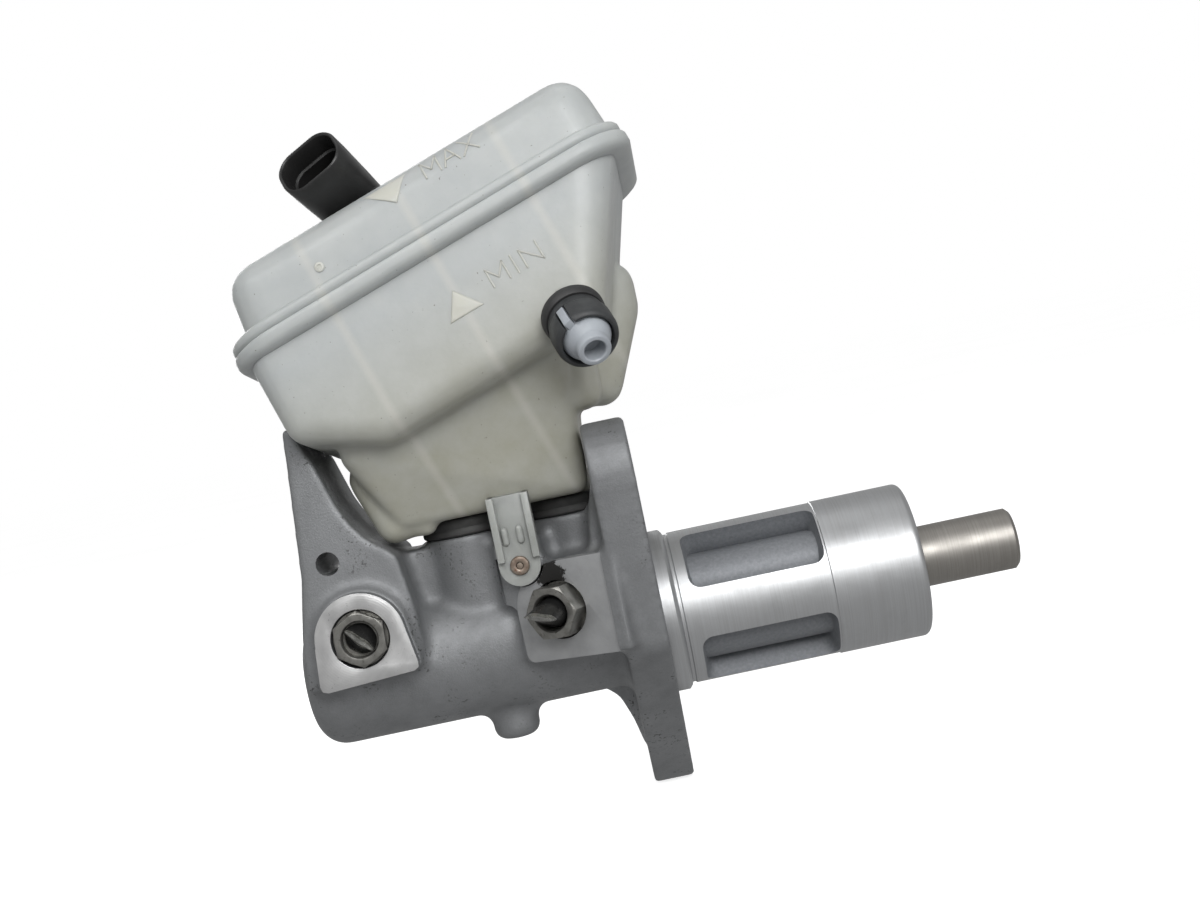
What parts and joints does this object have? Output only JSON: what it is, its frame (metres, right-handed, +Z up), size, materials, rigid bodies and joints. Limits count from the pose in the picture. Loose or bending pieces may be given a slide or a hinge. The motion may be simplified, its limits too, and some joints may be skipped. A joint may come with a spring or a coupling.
{
  "type": "tandem brake master cylinder",
  "caption": "Tandem brake master cylinder: cast body with two pipe ports, flange and spigot, sliding pistons, and a tilted translucent fluid reservoir with sensor and cap.",
  "frame": {"origin": "on the bore axis, in the plane of the flange's mounting face", "axes": "+X along the bore towards the pushrod, +Y away from the side with the two pipe ports, +Z up towards the reservoir"},
  "size_m": [0.1876, 0.0875, 0.1862],
  "materials": {
    "cast_aluminium": "cast, grey, fine grain",
    "bush_plastic": "moulded",
    "seal_rubber": "smooth",
    "spring_steel": "drawn",
    "piston_steel": "ground, satin",
    "piston_aluminium": "turned",
    "grommet_rubber": "moulded",
    "reservoir_plastic": "translucent, blow-weld satin",
    "cap_plastic": "moulded, ribbed",
    "sensor_plastic": "moulded",
    "terminal_brass": "tinned",
    "float_foam": "foamed",
    "magnet_ferrite": "sintered",
    "reed_glass": "clear",
    "plug_plastic": "moulded",
    "zinc_steel": "dulled zinc plate",
    "pipe_black": "black coated, bare at the cut"
  },
  "bodies": {
    "casting": {"cylinder_body": "cast_aluminium", "guide_bush": "bush_plastic", "rod_seal": "seal_rubber", "circlip": "spring_steel", "stop_pin": "spring_steel", "primary_spring": "spring_steel", "secondary_spring": "spring_steel", "front_grommet": "grommet_rubber", "rear_grommet": "grommet_rubber", "reservoir_lower_shell": "reservoir_plastic", "reservoir_upper_shell": "reservoir_plastic", "retaining_pin": "zinc_steel", "filler_strainer": "reservoir_plastic", "level_sensor_housing": "sensor_plastic", "sensor_terminals": "terminal_brass", "reed_switch": "reed_glass", "outlet_seal_ring": "seal_rubber", "outlet_boot": "grommet_rubber", "outlet_plug": "plug_plastic", "front_tube_nut": "zinc_steel", "rear_tube_nut": "zinc_steel", "front_pipe_stub": "pipe_black", "rear_pipe_stub": "pipe_black"},
    "primary": {"primary_piston": "piston_steel", "primary_cup": "seal_rubber", "primary_rear_cup": "seal_rubber", "spring_screw": "spring_steel"},
    "secondary": {"secondary_piston": "piston_aluminium", "secondary_cup": "seal_rubber", "secondary_rear_cup": "seal_rubber", "spring_retainer": "spring_steel"},
    "cap": {"filler_cap": "cap_plastic", "cap_gasket": "seal_rubber"},
    "float": {"level_float": "float_foam", "float_magnet": "magnet_ferrite"}
  },
  "joints": [
    {"name": "primary_stroke", "type": "slide", "parent": "casting", "child": "primary", "axis": [-1, 0, 0], "range_m": [0, 0.022], "stiffness_N_per_m": 2200, "springref_m": -0.02, "deforming": ["primary_spring"]},
    {"name": "secondary_stroke", "type": "slide", "parent": "casting", "child": "secondary", "axis": [-1, 0, 0], "range_m": [0, 0.011], "deforming": ["secondary_spring"]},
    {"name": "cap_turn", "type": "hinge", "parent": "casting", "child": "cap", "pos_m": [-0.01996, 0.01456, 0.12553], "axis": [-0.3224, 0.1392, 0.9363], "range_deg": [0, 90]},
    {"name": "float_rise", "type": "slide", "parent": "casting", "child": "float", "axis": [-0.3224, 0.1392, 0.9363], "range_m": [0, 0.022]}
  ],
  "couplings": [
    {"joint": "secondary_stroke", "follows": "primary_stroke", "ratio": 0.5}
  ]
}
